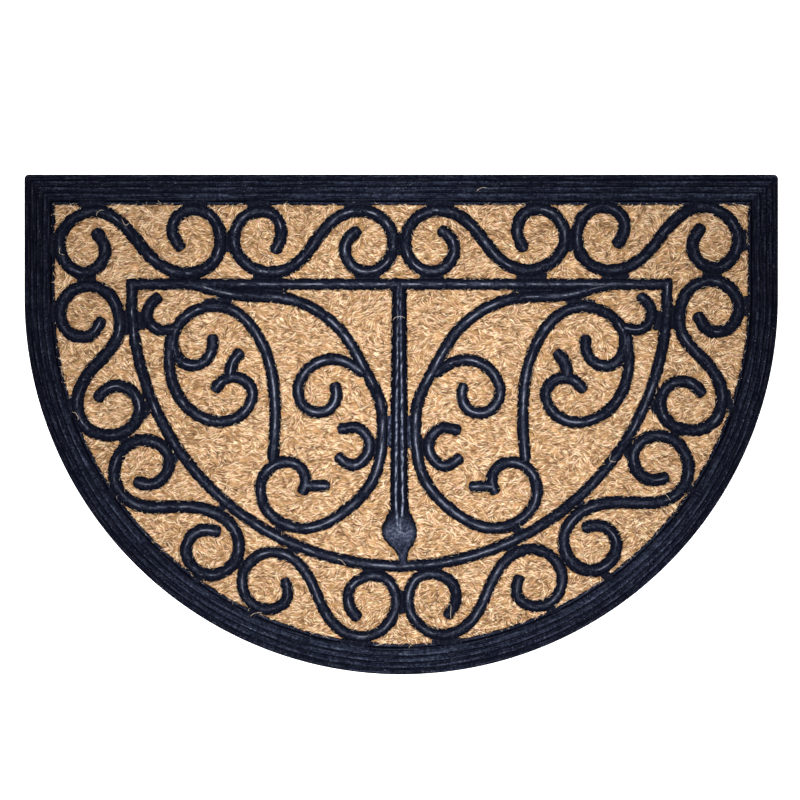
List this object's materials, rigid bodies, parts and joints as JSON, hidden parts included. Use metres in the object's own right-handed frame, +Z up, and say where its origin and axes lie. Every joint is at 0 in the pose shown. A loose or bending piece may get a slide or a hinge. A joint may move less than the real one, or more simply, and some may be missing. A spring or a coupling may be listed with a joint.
{
  "type": "half-round coir and rubber doormat",
  "caption": "Half-round doormat: a sheet of golden coir fibre in a dark moulded rubber tray, with a stepped border and raised scrollwork, lying flat.",
  "frame": {"origin": "centre of the bounding box's lowest face, on the floor under the mat", "axes": "+X along the straight edge, +Y towards the straight edge, +Z up out of the pile"},
  "size_m": [0.6, 0.398, 0.0096],
  "materials": {
    "moulded_rubber": "moulded, satin, with a fine bloom of dust",
    "coir": "coarse natural fibre, matt and hairy"
  },
  "bodies": {
    "root": {"rubber_moulding": "moulded_rubber", "coir_mat": "coir"}
  },
  "joints": []
}
